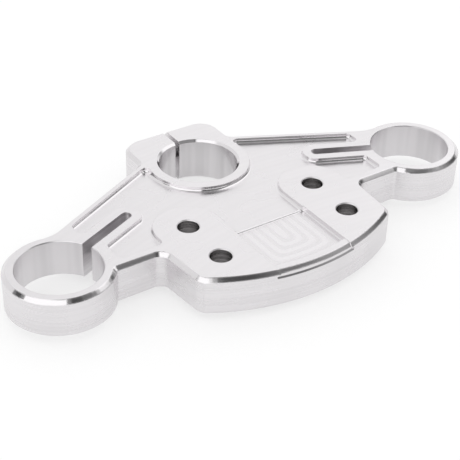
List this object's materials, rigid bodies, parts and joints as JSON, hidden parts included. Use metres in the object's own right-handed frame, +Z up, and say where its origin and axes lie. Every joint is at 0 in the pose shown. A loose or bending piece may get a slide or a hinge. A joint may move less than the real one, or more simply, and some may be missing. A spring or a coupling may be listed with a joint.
{
  "type": "motorcycle upper triple clamp",
  "caption": "Milled aluminium upper triple clamp: split rings for the steering stem and both fork tubes, with a drilled block for handlebar risers.",
  "frame": {"origin": "on the steering stem axis, in the plane of the top faces", "axes": "+Z up along the steering stem, -Y to the front of the motorcycle, +X across from one fork tube to the other"},
  "size_m": [0.3128, 0.1668, 0.028],
  "materials": {
    "milled_aluminium": "bright milled with polished chamfers"
  },
  "bodies": {
    "root": {"clamp_body": "milled_aluminium"}
  },
  "joints": []
}
